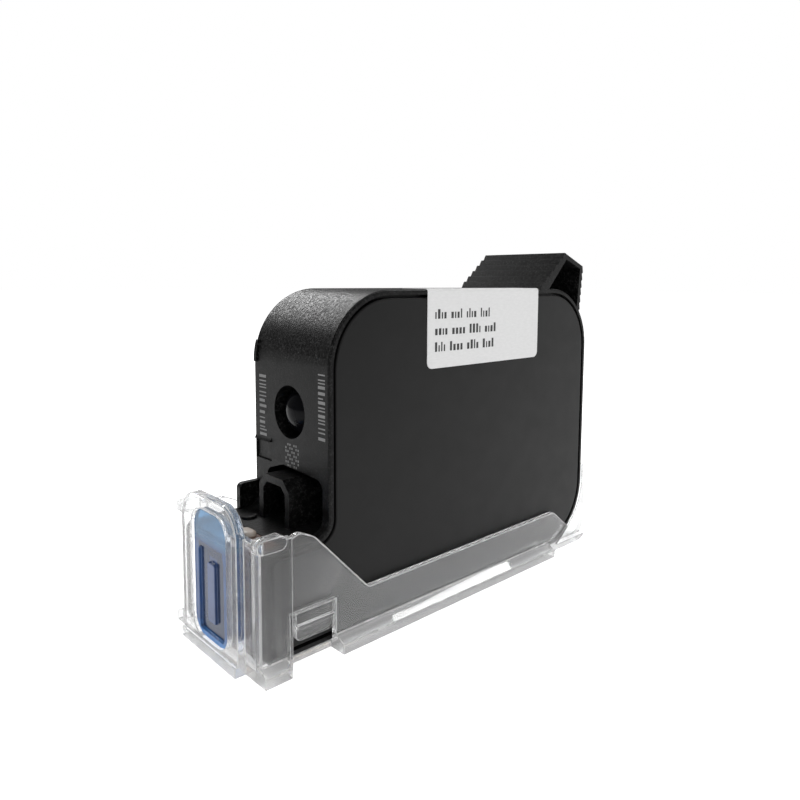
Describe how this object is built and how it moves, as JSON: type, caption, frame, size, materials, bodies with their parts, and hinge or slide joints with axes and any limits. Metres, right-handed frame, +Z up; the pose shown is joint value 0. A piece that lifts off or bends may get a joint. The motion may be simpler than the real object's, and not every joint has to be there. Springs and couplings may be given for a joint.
{
  "type": "inkjet print cartridge in a nozzle guard",
  "caption": "Flat black half-inch inkjet cartridge for date coding, with a ribbed finger grip, standing in its clear clip-on nozzle guard with a blue seal.",
  "frame": {"origin": "on the standing surface, under the middle of the guard and cartridge", "axes": "+Z up, -X towards the nozzles, -Y towards the labelled side"},
  "size_m": [0.089, 0.0286, 0.0648],
  "materials": {
    "shell_black": "moulded, fine grain",
    "cover_black": "satin",
    "inner_plastic": "natural",
    "bag_film": "metallised film",
    "plate_steel": "thin sheet",
    "spring_steel": "spring strip",
    "screen_steel": "fine mesh",
    "ball_black": "polished dark ball",
    "silicon": "polished chip",
    "orifice_foil": "gold-plated foil",
    "flex_amber": "amber film",
    "contact_gold": "gold plate",
    "encapsulant": "cured bead",
    "stake_white": "cured bead",
    "label_paper": "matt white",
    "guard_clear": "clear polished plastic",
    "seal_blue": "soft translucent"
  },
  "bodies": {
    "guard": {"guard_shell": "guard_clear", "nozzle_seal": "seal_blue"},
    "cartridge": {"frame": "shell_black", "side_cover_near": "cover_black", "side_cover_far": "cover_black", "bag_frame": "inner_plastic", "bag_film_near": "bag_film", "bag_film_far": "bag_film", "bow_spring": "spring_steel", "filter_screen_near": "screen_steel", "filter_screen_far": "screen_steel", "fill_ball": "ball_black", "printhead_die": "silicon", "orifice_plate": "orifice_foil", "flex_circuit": "flex_amber", "contact_pads": "contact_gold", "encapsulant_beads": "encapsulant", "flex_stake": "stake_white", "label": "label_paper"},
    "near_plate": {"pressure_plate_near": "plate_steel"},
    "far_plate": {"pressure_plate_far": "plate_steel"},
    "near_latch": {"latch_tongue_near": "guard_clear"},
    "far_latch": {"latch_tongue_far": "guard_clear"}
  },
  "joints": [
    {"name": "cartridge_lift", "type": "slide", "parent": "guard", "child": "cartridge", "axis": [0, 0, 1], "range_m": [0, 0.03]},
    {"name": "near_plate_squeeze", "type": "slide", "parent": "cartridge", "child": "near_plate", "axis": [0, 1, 0], "range_m": [0, 0.004], "stiffness_N_per_m": 20, "deforming": ["bow_spring", "bag_film_near"]},
    {"name": "far_plate_squeeze", "type": "slide", "parent": "cartridge", "child": "far_plate", "axis": [0, -1, 0], "range_m": [0, 0.004], "stiffness_N_per_m": 20, "deforming": ["bag_film_far"]},
    {"name": "near_latch_flex", "type": "hinge", "parent": "guard", "child": "near_latch", "pos_m": [-0.03263, -0.0123, 0.00855], "axis": [-1, 0, 0], "range_deg": [0, 10], "stiffness_Nm_per_rad": 0.02},
    {"name": "far_latch_flex", "type": "hinge", "parent": "guard", "child": "far_latch", "pos_m": [-0.03263, 0.0123, 0.00855], "axis": [1, 0, 0], "range_deg": [0, 10], "stiffness_Nm_per_rad": 0.02}
  ],
  "couplings": [
    {"joint": "far_plate_squeeze", "follows": "near_plate_squeeze", "ratio": 1}
  ]
}
